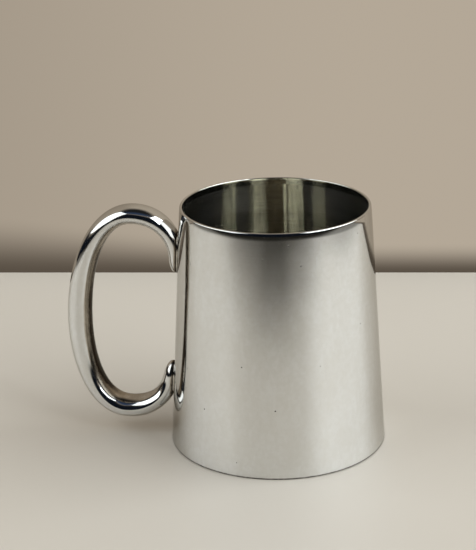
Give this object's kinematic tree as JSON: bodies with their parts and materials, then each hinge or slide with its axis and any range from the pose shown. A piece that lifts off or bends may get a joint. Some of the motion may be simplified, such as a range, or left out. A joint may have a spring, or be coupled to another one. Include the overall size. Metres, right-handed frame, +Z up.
{
  "type": "tankard",
  "caption": "Plain polished silver-plate tankard: straight tapering drum with a rounded lip, recessed base and a hollow loop handle, oval at its bends, soldered to the wall by its curled ends.",
  "frame": {"origin": "centre of the part's box at table level, halfway between the outside of the grip and the far side of the foot; the drum's axis stands 23.8 mm towards +X", "axes": "+Z up; the handle points along -X in the plane Y = 0, which is the part's plane of symmetry"},
  "size_m": [0.145, 0.0974, 0.11],
  "materials": {
    "polished_silver": "mirror-polished silver plate with fine hairline scratches",
    "satin_silver": "silver plate with a soft satin from spinning and wear",
    "silver_solder": "polished hard solder, slightly tarnished"
  },
  "bodies": {
    "root": {"body_wall": "polished_silver", "rim_wire": "polished_silver", "base_plate": "satin_silver", "base_solder": "silver_solder", "handle_half_left": "polished_silver", "handle_half_right": "polished_silver", "upper_handle_solder": "silver_solder", "lower_handle_solder": "silver_solder"}
  },
  "joints": []
}
